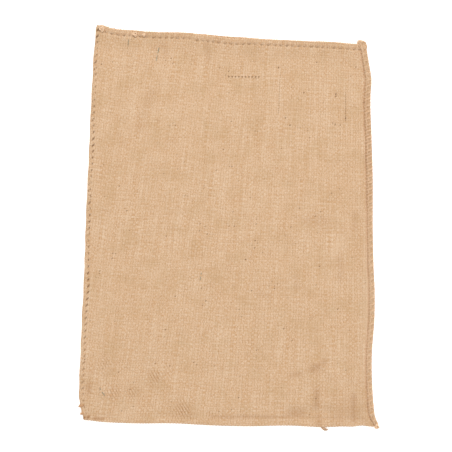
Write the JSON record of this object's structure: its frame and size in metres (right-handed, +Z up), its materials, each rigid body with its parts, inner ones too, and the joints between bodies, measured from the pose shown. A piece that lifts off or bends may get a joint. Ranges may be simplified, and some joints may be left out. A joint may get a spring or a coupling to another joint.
{
  "type": "jute sack",
  "caption": "Small empty jute sack lying flat: plain-woven hessian folded at the bottom, hemmed at the open mouth and oversewn down both sides.",
  "frame": {"origin": "middle of the sack's footprint, on the surface it lies on", "axes": "+X across the sack, to the side with the raised seam; +Y from the bottom fold to the mouth; +Z up, out of the front"},
  "size_m": [0.3138, 0.4174, 0.006],
  "materials": {
    "hessian": "matt natural jute, plain weave",
    "seam_twine": "matt jute twine over rolled hessian"
  },
  "bodies": {
    "root": {"sack_cloth": "hessian", "left_side_seam": "seam_twine", "right_side_seam": "seam_twine"}
  },
  "joints": []
}
